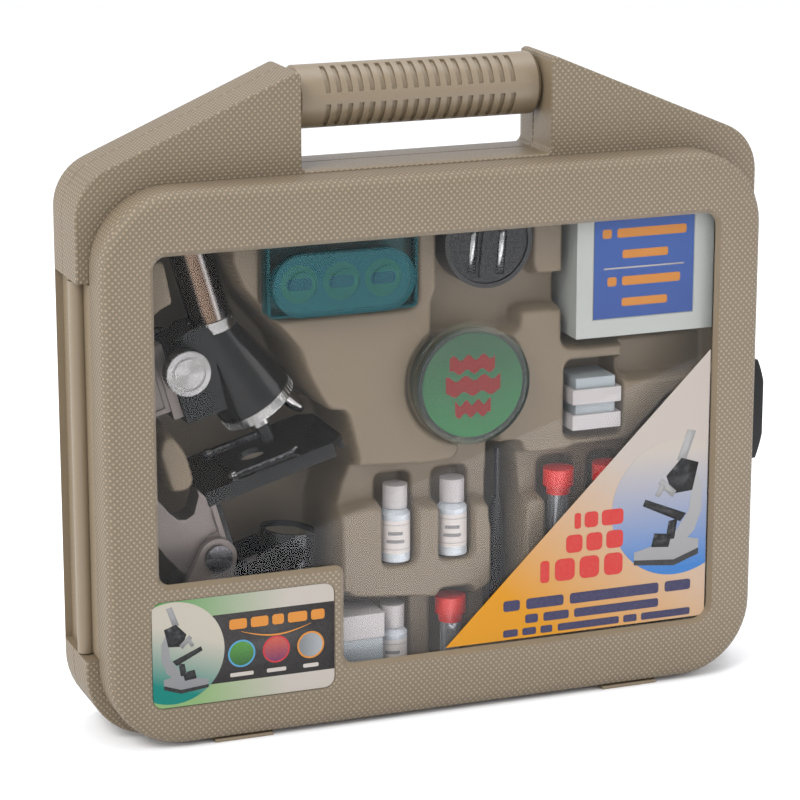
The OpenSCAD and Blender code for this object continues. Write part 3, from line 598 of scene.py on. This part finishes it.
VIALS = (71.4, 98.6)
BOTTLES = (-17.3, 13.2)
SCOPE_POCKET = [(-156, 262), (-150, 290), (-104, 290), (-104, 236), (-98.5, 223), (-76, 197.5),
                (-70, 190), (-66, 178), (-60, 166), (-55, 158), (-46, 157), (-40, 132), (-45, 120),
                (-49, 104), (-49, 66), (-54, 58), (-54, 22), (-156, 22), (-156, 108), (-161, 122),
                (-161, 172), (-156, 184)]
TOOL_CHANNEL = [(35, 133), (47, 133), (50, 102), (48, 90), (49, 30), (34, 30), (34, 102)]
SIDE_ISLAND = [(-170, 242), (-136, 242), (-131, 217.5), (-137, 216.3), (-142.5, 212), (-146, 206),
               (-146.5, 198), (-170, 198)]
ARM_ISLAND = [(-140, 155), (-133, 155), (-126, 145), (-122, 130), (-126, 125), (-136, 125),
              (-142.5, 146)]
SLICER_LEDGE = [(2.5, 263), (2.5, 213), (0, 211), (0, 190), (45, 190), (46, 201), (80, 200),
                (80, 218), (54, 218), (52, 223), (52, 263)]
LOW_LEDGE = [(-46, 129), (-2, 126), (11, 127), (15, 131), (14, 140), (34, 140), (36, 129), (48, 129),
             (50, 126), (74, 126), (76, 128), (107, 128), (130, 150), (150, 150), (150, 24), (-48, 14),
             (-48, 104)]
BOTTLE_ISLAND = [(-47, 105), (-35, 108), (18, 103), (29, 104), (32, 101), (31, 95), (33, 91), (33, 60),
                 (20, 54), (-43, 61), (-47, 66)]
VIAL_ISLAND = [(50, 102), (59, 103), (63, 100), (63, 60), (50, 60)]
deep = region([SCOPE_POCKET, TOOL_CHANNEL], [SIDE_ISLAND, ARM_ISLAND])
mid = region([rr(72, 102, 133, 172, 3), rr(70, 152, 180, 263, 4),
              rr(3.7, 21.7, 12, 60, 3), rr(-52, -9, 14, 58, 3)]
             + [rr(x - 9, x + 9, 66, 120, 3) for x in VIALS]
             + [rr(x - 8.5, x + 8.5, 76.4, 120, 2) for x in BOTTLES], soft=0.9)
ledge = region([SLICER_LEDGE, rr(103, 153, 160, 182, 3)])
low_ledge = region([LOW_LEDGE], [BOTTLE_ISLAND, VIAL_ISLAND])
shallow = region([rr(-89, -8.5, 207, 250, 4), arc(17.3, 167.6, 31.2, 0, 360, 60)[:-1]])
TRAY_FACE = -20.0
SKIRT = 12.0
depth = np.full(X.shape, TRAY_FACE)
for mask, y in ((shallow, -15.0), (ledge | low_ledge, -8.0), (mid, 3.0), (deep, 30.0)):
    depth[mask] = y
rim = inside(rrect(-162.5, 163, 10, 267, 28, 0, 8))
depth[~rim] = np.maximum(depth, SKIRT)[~rim]
depth = blur(depth, 0.75)
keep = blur((blur(rim.astype(float), 0.6) > 0.02).astype(float), 0.3) > 0.5
xs, ys, zs, kept = (grid[::EVERY, ::EVERY] for grid in (X, depth, Z, keep))
index = -np.ones(ys.shape, int)
index[kept] = np.arange(kept.sum())
verts = np.stack([xs[kept], ys[kept], zs[kept]], 1) * MM
a, b, c, d = index[:-1, :-1], index[:-1, 1:], index[1:, 1:], index[1:, :-1]
ok = (a >= 0) & (b >= 0) & (c >= 0) & (d >= 0)
quads = np.stack([a[ok], b[ok], c[ok], d[ok]], 1)
me = bpy.data.meshes.new("formed_tray")
me.from_pydata(verts.tolist(), [], quads.tolist())
for p in me.polygons:
    p.use_smooth = True
tray = bpy.data.objects.new("formed_tray", me)
bpy.context.scene.collection.objects.link(tray)
me.materials.append(MATS["tray"])
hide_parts("insert_tray")
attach(tray, "case")

# ---------------------------------------------------------------- finishes of the CAD nodes
# material and bevel in mm; a bevel of 0 leaves the edges sharp
FINISH = {
    "grip": ("shell_smooth", 0.35), "latch": ("latch", 0.7), "lid_feet": ("shell_smooth", 0.4),
    "back_feet": ("shell_smooth", 0.4), "hinge_pin": ("steel", 0), "latch_pin": ("steel", 0),
    "handle_tube": ("steel", 0), "window_pane": ("pane", 0), "scope_base": ("cast", 0.7),
    "base_pad": ("rubber", 0.6), "inclination_bolt": ("dark_steel", 0.25), "scope_arm": ("cast", 0.55),
    "stage": ("black", 0.3), "stage_bracket": ("black", 0.3), "clip_near": ("steel", 0.12),
    "clip_far": ("steel", 0.12), "clip_studs": ("chrome", 0.2), "focus_rack": ("steel", 0),
    "scope_head": ("black", 0.7), "scope_tube": ("tube", 0.15), "tube_ring": ("knurl", 0.25),
    "eyepiece": ("black_satin", 0.4), "eyepiece_lens": ("lens", 0), "focus_shaft": ("steel", 0),
    "focus_knobs": ("knob", 0.2), "nosepiece": ("knurl", 0.15), "turret_screw": ("chrome", 0.3),
    "objective_long": ("chrome", 0.15), "objectives_short": ("black", 0.15),
    "illuminator_fork": ("black", 0.4), "illuminator_drum": ("black", 0.5),
    "illuminator_mirror": ("mirror", 0), "illuminator_lamp": ("lens", 0.5), "petri_base": ("clear", 0.3),
    "petri_lid": ("clear", 0.4), "hatchery_base": ("teal", 0.4), "hatchery_lid": ("teal", 0.6),
    "slicer_body": ("slicer", 0.4), "slide_box": ("slide_box", 0.5),
    "slide_box_lid": ("slide_box", 0.6), "glass_slides": ("clear", 0), "small_boxes": ("frosted", 0.5),
    "small_box_lids": ("white_lid", 0.6), "bottles": ("bottle", 0.5), "bottle_cap_a": ("white_lid", 0.5),
    "bottle_cap_b": ("white_lid", 0.5), "bottle_cap_c": ("white_lid", 0.5), "vials": ("tube_clear", 0.2),
    "vial_caps": ("red", 0.4), "scalpel": ("black_satin", 0.3), "slicer_dial": ("dial", 0.25),
}
for name, (mat, w) in FINISH.items():
    o = nodes[name]
    me = o.data
    if me.has_custom_normals:
        with bpy.context.temp_override(object=o, active_object=o, selected_objects=[o]):
            bpy.ops.mesh.customdata_custom_splitnormals_clear()
    me.materials.clear()
    me.materials.append(MATS[mat])
    for p in me.polygons:
        p.use_smooth = True
    weld(o)
    if w:
        bevel(o, w, 40)
    else:
        o.modifiers.new("split", "EDGE_SPLIT").split_angle = math.radians(35)


# ---------------------------------------------------------------- printed art: generic shapes only
def flat(name, pts, y, mat, body, thick=0.06):
    """Thin printed shape lying on a face at depth y, its outline pts in mm."""
    loops = [at_y(pts, y), at_y(pts, y - thick)]
    o = loft(name, loops, mat)
    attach(o, body)
    return o


INK = 0.5


def printed(s):
    """Fine relief and weak gloss of a printed face."""
    s.bump(s.noise(500, 2), 0.00001)
    s.set("Specular IOR Level", 0.15)
    return s.m


def ink(name, c, c2=None, axis=0, a=0.0, b=1.0):
    """One ink, or two that blend along an axis from a to b (mm), on slightly mottled paper."""
    s = Shade(name, 0.32)
    base = tone(c, INK)
    if c2:
        p = s.split(s.co)
        base = s.mix(s.remap(p[axis], a * MM, b * MM, 0, 1), base, tone(c2, INK))
    s.color(s.mix(s.math("MULTIPLY", s.noise(900, 2), 0.12), base, (0.3, 0.3, 0.3)))
    return printed(s)


def ink_blend(name, c, c2, dx, dz, a, b):
    """Two inks that blend along a slanted direction in the face, from a to b (mm)."""
    s = Shade(name, 0.3)
    p = s.split(s.co)
    t = s.math("ADD", s.math("MULTIPLY", p[0], dx), s.math("MULTIPLY", p[2], dz))
    s.color(s.mix(s.remap(t, a * MM, b * MM, 0, 1), tone(c, INK), tone(c2, INK)))
    return printed(s)


INKS = {
    "teal": ink_blend("ink_teal", srgb(20, 140, 128), srgb(214, 206, 190), 0.35, 1.0, -18, 12),
    "cream": ink("ink_cream", srgb(150, 190, 120), srgb(214, 204, 192), 0, -128, -82),
    "green": ink("ink_green", srgb(96, 168, 84), srgb(214, 204, 192), 0, -140, -82),
    "dark": ink("ink_dark", srgb(48, 44, 44), srgb(58, 52, 50), 2, 20, 78),
    "grey": ink("ink_grey", srgb(150, 150, 152), srgb(196, 194, 192), 2, 30, 130),
    "black": ink("ink_black", srgb(26, 26, 28)),
    "leaf": ink("ink_leaf", srgb(30, 100, 30), srgb(84, 160, 50), 2, 40, 52),
    "sky": ink("ink_sky", srgb(84, 170, 214)),
    "redring": ink("ink_red", srgb(214, 34, 48)),
    "berry": ink("ink_berry", srgb(120, 30, 90), srgb(220, 90, 60), 2, 40, 52),
    "orange": ink("ink_orange", srgb(238, 150, 30)),
    "stone": ink("ink_stone", srgb(130, 134, 134), srgb(180, 184, 186), 0, -76, -65),
    "gold": ink_blend("ink_gold", srgb(236, 160, 0), srgb(214, 202, 192), 0.62, 0.78, 66, 158),
    "navy": ink("ink_navy", srgb(38, 32, 84)),
    "red": ink("ink_vermilion", srgb(226, 42, 30)),
    "blue": ink("ink_blue", srgb(40, 128, 208), srgb(216, 204, 192), 2, 62, 124),
    "card": ink("ink_card_green", srgb(0, 190, 80), srgb(30, 120, 58), 2, 140, 196),
    "tealcard": ink("ink_teal_card", srgb(20, 128, 122), srgb(12, 96, 100), 2, 205, 245),
    "boxblue": ink("ink_box_blue", srgb(30, 82, 170), srgb(40, 100, 190), 2, 194, 258),
    "paper": ink("ink_paper", srgb(222, 212, 202)),
    "silver": brushed("silver_strip", (0.3, 0.3, 0.29), 0.22, (1, 1, 8)),
}


def disc(x, z, r, n=40):
    return arc(x, z, r, 0, 360, n)[:-1]


def rect(x0, x1, z0, z1):
    return [(x0, z0), (x1, z0), (x1, z1), (x0, z1)]


def carry(name, mat):
    me = nodes[name].data
    me.materials.clear()
    me.materials.append(mat)


carry("lid_label", INKS["teal"])
carry("window_print", INKS["gold"])
carry("petri_card", INKS["card"])
carry("hatchery_card", INKS["tealcard"])
carry("slide_box_label", INKS["boxblue"])


def pictogram(tag, x, z, k, flip, y):
    """Small drawing of a microscope, k mm per unit, its foot at (x, z)."""
    parts = (("tube", "grey", [(-8.8, 42), (-5.9, 42.6), (-2.4, 33), (-5.4, 32)]),
             ("arm", "grey", [(-9, 29), (-11.5, 24), (-11.5, 16), (-9, 9), (-4, 4.5), (0, 6),
                              (-3.6, 11), (-7, 16), (-8, 24)]),
             ("base", "grey", [(-10.6, 6), (-4, 7.5), (12, 3.8), (12, 1.2), (-2, 0), (-10.6, 3)]),
             ("sole", "black", [(-10.6, 3), (-2, 0), (12, 1.2), (12, -0.4), (-2, -2), (-10.6, 1)]),
             ("head", "black", [(-10, 31.5), (-4, 33.5), (1.2, 28), (-1, 22), (-8, 22.5)]),
             ("nose", "grey", [(-2.4, 22.8), (2.6, 27.4), (4, 25.8), (-1, 20.8)]),
             ("lens", "grey", [(1.4, 24.6), (3, 25.6), (5, 22), (3.6, 21.2)]),
             ("stage", "black", [(-6, 15), (8.4, 21), (9.2, 18.9), (-4, 12.5)]),
             ("post", "black", [(-3, 13.5), (0, 13), (1, 7), (-2, 7)]),
             ("lamp", "black", [(-1, 8.6), (5, 9.4), (6, 5), (0, 4.4)]))
    for j, (nm, c, pts) in enumerate(parts):
        q = [(x + (-a if flip else a) * k, z + b * k) for a, b in pts]
        flat("%s_%s" % (tag, nm), q, y - 0.012 * j, INKS[c], "lid")


def dashes(tag, z, h, spans, c, y, body="lid"):
    """A row of rounded bars, h high above z, one for each span."""
    for j, (a, b) in enumerate(spans):
        bar = rrect(a, b, z, z + h, min(h * 0.25, (b - a) / 3), 0, 3)
        flat("%s_%d" % (tag, j), bar, y, INKS[c], body)


# label at the lower left of the lid
LABEL_Y = -34.66
LABEL_LEFT = -151
LABEL_RIGHT = -58
LABEL_LOW = 22.5
LABEL_TOP = 76.3
flat("label_strip_top", rrect(LABEL_LEFT, LABEL_RIGHT, 60, LABEL_TOP, 5, 0, 5), LABEL_Y, INKS["green"], "lid")
flat("label_strip_low", rrect(LABEL_LEFT, LABEL_RIGHT, LABEL_LOW, 40, 5, 0, 5), LABEL_Y, INKS["cream"], "lid")
flat("label_band", rect(LABEL_LEFT, LABEL_RIGHT, 31.8, 66.8), LABEL_Y - 0.04, INKS["dark"], "lid")
big = [(max(a, LABEL_LEFT), min(max(b, 22.8), 76.1)) for a, b in arc(-140.6, 50, 26, -115, 115, 40)]
disc_edge = [(LABEL_LEFT, 24.5)] + big + [(LABEL_LEFT, 74.4)]
flat("label_disc", disc_edge, LABEL_Y - 0.08, INKS["teal"], "lid")
pictogram("label_scope", -135, 31, 1.0, False, LABEL_Y - 0.12)
title = [(-112, -103), (-101, -92), (-90, -84), (-82, -72), (-70, -63)]
dashes("label_title", 58.4, 5.2, title, "orange", LABEL_Y - 0.08)
swoosh = [(-106 + 36 * t / 20, 57 - 3.4 * math.sin(math.pi * t / 20)) for t in range(21)]
under = [(a, b - 0.7 * math.sin(math.pi * (1 + t) / 22) - 0.1) for t, (a, b) in enumerate(swoosh)]
flat("label_swoosh", swoosh + under[::-1], LABEL_Y - 0.08, INKS["orange"], "lid")
PICTURES = (("sky", "leaf", -105.9), ("redring", "berry", -88.1), ("orange", "stone", -70.3))
for i, (ring, fill, xc) in enumerate(PICTURES):
    flat("picture_ring_%d" % i, disc(xc, 45.7, 7.0), LABEL_Y - 0.09, INKS[ring], "lid")
    flat("picture_%d" % i, disc(xc, 45.7, 6.1), LABEL_Y - 0.12, INKS[fill], "lid")
    caption = rrect(xc - 6 + i, xc + 6 - i, 34.1, 36.1, 0.6, 0, 3)
    flat("caption_%d" % i, caption, LABEL_Y - 0.09, INKS["paper"], "lid")

# triangle on the window
PRINT_Y = -32.72
BARS_Y = PRINT_Y - 0.04
flat("print_disc", arc(128, 94, 36, 61.5, 298.5, 44), PRINT_Y, INKS["blue"], "lid")
PRINT_ROWS = (("red_a", 88.4, 8.2, [(71.5, 75), (77, 84.5), (86.5, 98.5)]),
              ("red_b", 76, 9.4, [(67, 76), (78.2, 87), (89.2, 98.5)]),
              ("red_c", 61.8, 11.6, [(53, 58), (61, 72), (74.6, 85.5), (88.2, 98.5)]),
              ("navy_a", 49, 5.6, [(33, 42), (45.5, 66), (69.5, 119), (122.5, 137)]),
              ("navy_b", 41.6, 4.6, [(45, 52), (55, 69), (72, 119)]),
              ("navy_c", 35.4, 3.8, [(33, 41), (43.5, 51), (53.5, 60), (63, 97), (99.5, 107), (109.5, 137)]))
for row, z, h, spans in PRINT_ROWS:
    dashes("print_" + row, z, h, spans, row.split("_")[0], BARS_Y)
pictogram("print_scope", 124, 66, 1.6, True, PRINT_Y - 0.05)


def wave(x0, x1, z, amplitude, phase):
    """A wavy edge from x0 to x1 about the height z."""
    return [(x0 + (x1 - x0) * t / 30, z + amplitude * math.sin(t * 0.63 + phase)) for t in range(31)]


# red waves on the dish's card
WAVES = ((177, 4.6, 5, 29), (166, 5.2, 3, 32), (154.5, 4.2, 8, 27))
for j, (zc, h, x0, x1) in enumerate(WAVES):
    top = wave(x0, x1, zc + h, 1.4, j)
    low = wave(x0, x1, zc - h * 0.55, 1.2, j + 0.6)
    flat("petri_wave_%d" % j, top + low[::-1], -28.78, INKS["red"], "case", 0.03)

# round pictures under the hatchery's lid, each with a dark mark
for j, x in enumerate((-71, -49.5, -28)):
    flat("hatchery_art_%d" % j, disc(x, 224.6, 9.4), -24.45, INKS["leaf"], "case", 0.05)
    mark = rrect(x - 6.5, x + 6.5, 221.5, 227.5, 2.5, 0, 4)
    flat("hatchery_mark_%d" % j, mark, -24.52, INKS["navy"], "case", 0.05)

# bars and a line on the slide box's label
BOX_Y = -26.93
BOX_ROWS = ((235, 4.6, [(87, 92), (95, 133)]), (224.4, 4.2, [(98, 123)]),
            (210.6, 4.6, [(90, 95), (98, 130)]), (200, 4.2, [(98, 123)]))
for j, (z, h, spans) in enumerate(BOX_ROWS):
    dashes("box_bar_%d" % j, z, h, spans, "orange", BOX_Y, "case")
flat("box_line", rect(88, 132, 219.2, 220), BOX_Y, INKS["paper"], "case", 0.04)


# sleeves on the bottles
SLEEVE_R = 7.66
SLEEVE_H = 17.0
SLEEVE_RISE = 4.4
SLEEVE_Y = -12
SLEEVE_SIDES = 64


def sleeve_paper(name):
    """Paper with two dotted rules round it and two grey bars on its front."""
    s = Shade(name, 0.6)
    p = s.split(s.co)
    z = p[2]
    ang = s.math("ARCTAN2", p[1], p[0])
    cell = s.math("LESS_THAN", s.math("FRACT", s.math("MULTIPLY", ang, 11)), 0.5)
    rule = 0.0
    for h in (0.0022, 0.0148):
        near = s.math("LESS_THAN", s.math("ABSOLUTE", s.math("SUBTRACT", z, h)), 0.00022)
        rule = s.math("MAXIMUM", rule, s.math("MULTIPLY", near, cell))
    for h, w in ((0.0106, 0.5), (0.0064, 0.62)):
        near = s.math("LESS_THAN", s.math("ABSOLUTE", s.math("SUBTRACT", z, h)), 0.0009)
        wide = s.math("LESS_THAN", s.math("ABSOLUTE", s.math("ADD", ang, 1.9)), w)
        rule = s.math("MAXIMUM", rule, s.math("MULTIPLY", s.math("MULTIPLY", near, wide), 0.75))
    paper = s.mix(s.noise(120), srgb(180, 172, 166), srgb(190, 182, 176))
    s.color(s.mix(rule, paper, srgb(66, 66, 70)))
    s.bump(s.noise(1500, 3), 0.00003)
    return s.m


def bottle_sleeve(i, x, low):
    name = "bottle_sleeve_%d" % i
    mat = sleeve_paper(name)
    n = SLEEVE_SIDES
    ring = disc(0, 0, SLEEVE_R * MM, n)
    v = [(a, b, z) for z in (0, SLEEVE_H * MM) for a, b in ring]
    f = [(j, (j + 1) % n, n + (j + 1) % n, n + j) for j in range(n)]
    o = make(name, v, f, mat)
    o.location = (x * MM, SLEEVE_Y * MM, (low + SLEEVE_RISE) * MM)
    bpy.context.view_layer.update()
    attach(o, "case")


for i, (x, low) in enumerate(((-17.3, 77.2), (13.2, 77.2), (-18.9, 15))):
    bottle_sleeve(i, x, low)

# silver strips in the slicer's two slots
lo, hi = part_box("slicer_dial")
cx, cz = (lo.x + hi.x) / 2 / MM, (lo.z + hi.z) / 2 / MM
turn = math.radians(5)
for j, x in enumerate((-7.5, 7.5)):
    pts = [(cx + a * math.cos(turn) + b * math.sin(turn), cz - a * math.sin(turn) + b * math.cos(turn))
           for a, b in rect(x - 1.7, x + 1.7, -15, 15)]
    flat("slicer_strip_%d" % j, pts, -24.02, INKS["silver"], "slicer_dial", 0.2)

# ---------------------------------------------------------------- stage, camera and light
w = 6.0
floor_paper = moulded("floor_paper", (0.9, 0.9, 0.9), 0.7, 0.01, 50, 0.0)
fl = make("floor", [(-w, -w, 0), (w, -w, 0), (w, w, 0), (-w, w, 0)], [(0, 1, 2, 3)], floor_paper, False)
fl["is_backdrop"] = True

# a bright sheet in front of the case, seen only as a reflection in the window
SHEET = ((-80, -251), (-14, -300), (463, -651), (600, -750), (600, -100), (-60, -80))
corners = [(x * MM, y * MM, 0.0005) for x, y in SHEET]
sheet_glow = moulded("sheet_glow", (0.9, 0.9, 0.9), 0.7, 0.01, 50, 0.0)
sheet = make("reflected_sheet", corners, [(0, 1, 2, 3, 4, 5)], sheet_glow, False)
glow = sheet_glow.node_tree.nodes["Principled BSDF"]
glow.inputs["Emission Color"].default_value = (0.94, 0.94, 1.0, 1)
glow.inputs["Emission Strength"].default_value = 2.4
for flag in ("camera", "diffuse", "transmission", "volume_scatter", "shadow"):
    setattr(sheet, "visible_" + flag, False)
sheet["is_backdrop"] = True


def aim(loc, target):
    return (Vector(target) - Vector(loc)).to_track_quat("-Z", "Y").to_euler()


cam_data = bpy.data.cameras.new("camera")
cam = bpy.data.objects.new("camera", cam_data)
bpy.context.scene.collection.objects.link(cam)
cam_data.lens = 142.5
cam_data.sensor_width = 36
cam_data.clip_end = 50
cam.location = (-0.5578, -1.4205, 0.5650)
cam.rotation_euler = aim(cam.location, (-0.02345, -0.035, 0.1654))
bpy.context.scene.camera = cam

world = bpy.data.worlds.new("studio")
bpy.context.scene.world = world
world.use_nodes = True
bg = world.node_tree.nodes["Background"]
bg.inputs[0].default_value = (0.93, 0.95, 1.0, 1)
bg.inputs[1].default_value = 1.05


def area(name, loc, target, size, power):
    ld = bpy.data.lights.new(name, "AREA")
    ld.shape = "RECTANGLE"
    ld.size, ld.size_y = size
    ld.energy = power
    o = bpy.data.objects.new(name, ld)
    bpy.context.scene.collection.objects.link(o)
    o.location = loc
    o.rotation_euler = aim(loc, target)


area("key", (-1.3, -1.1, 1.7), (0, 0, 0.15), (0.9, 0.9), 32)
area("top", (0.3, 0.2, 1.9), (0, 0, 0.1), (1.4, 1.0), 16)
area("fill", (1.5, -1.2, 0.9), (0, 0, 0.15), (1.0, 1.0), 10)
area("side", (-1.7, 0.5, 0.5), (-0.1, 0, 0.15), (0.5, 0.5), 9)

bpy.context.scene.view_settings.view_transform = "Standard"

lo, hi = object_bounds()
